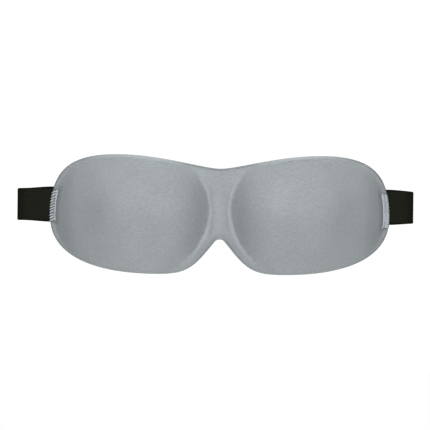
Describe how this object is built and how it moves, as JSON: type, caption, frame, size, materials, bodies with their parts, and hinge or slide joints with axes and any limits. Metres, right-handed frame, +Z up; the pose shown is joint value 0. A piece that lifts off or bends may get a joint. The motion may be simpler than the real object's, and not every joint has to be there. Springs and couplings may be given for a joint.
{
  "type": "sleep eye mask",
  "caption": "Contoured sleep eye mask: moulded foam shell with domed eye cups, fabric face and lining, elastic straps that close behind the head with hook and loop tape.",
  "frame": {"origin": "inner face of the nose bridge, on the middle plane, halfway up the bridge", "axes": "+Z up, +Y towards the face and the back of the head, -Y outward, +X to the right in the front view"},
  "size_m": [0.2832, 0.099, 0.0803],
  "materials": {
    "face_fabric": "fine grey jersey knit, matte",
    "foam": "moulded closed cell foam, matte",
    "lining_fabric": "soft grey knit lining, matte",
    "elastic": "black woven elastic, lengthwise ribs",
    "hook_nylon": "black nylon hooks",
    "loop_nylon": "black brushed loop pile",
    "grey_thread": "light grey polyester thread",
    "black_thread": "black polyester thread"
  },
  "bodies": {
    "mask": {"outer_fabric": "face_fabric", "foam_core": "foam", "inner_lining": "lining_fabric", "left_bartack": "grey_thread", "right_bartack": "grey_thread", "left_strap_sewn_end": "elastic", "right_strap_sewn_end": "elastic"},
    "left_strap": {"left_strap_front": "elastic"},
    "left_back_strap": {"left_strap_band": "elastic"},
    "closure_tab": {"strap_tab": "elastic", "hook_tape": "hook_nylon", "hook_tape_stitching": "black_thread"},
    "right_strap": {"right_strap_front": "elastic"},
    "right_back_strap": {"right_strap_band": "elastic", "loop_tape": "loop_nylon", "loop_tape_stitching": "black_thread"}
  },
  "joints": [
    {"name": "left_strap_tilt", "type": "hinge", "parent": "mask", "child": "left_strap", "pos_m": [-0.118, 0.02924, -0.001], "axis": [1, 0, 0], "range_deg": [-20, 20], "stiffness_Nm_per_rad": 0.04},
    {"name": "right_strap_tilt", "type": "hinge", "parent": "mask", "child": "right_strap", "pos_m": [0.118, 0.02924, -0.001], "axis": [1, 0, 0], "range_deg": [-20, 20], "stiffness_Nm_per_rad": 0.04},
    {"name": "left_strap_swing", "type": "hinge", "parent": "left_strap", "child": "left_back_strap", "pos_m": [-0.12627, 0.0726, -0.001], "axis": [0, 0, 1], "range_deg": [0, 120]},
    {"name": "right_strap_swing", "type": "hinge", "parent": "right_strap", "child": "right_back_strap", "pos_m": [0.12185, 0.06734, -0.001], "axis": [0, 0, 1], "range_deg": [0, 15]},
    {"name": "closure_tab_peel", "type": "hinge", "parent": "left_back_strap", "child": "closure_tab", "pos_m": [-0.027, 0.074, -0.001], "axis": [0, 0, 1], "range_deg": [0, 90]}
  ],
  "couplings": [
    {"joint": "right_strap_tilt", "follows": "left_strap_tilt", "ratio": 1}
  ]
}
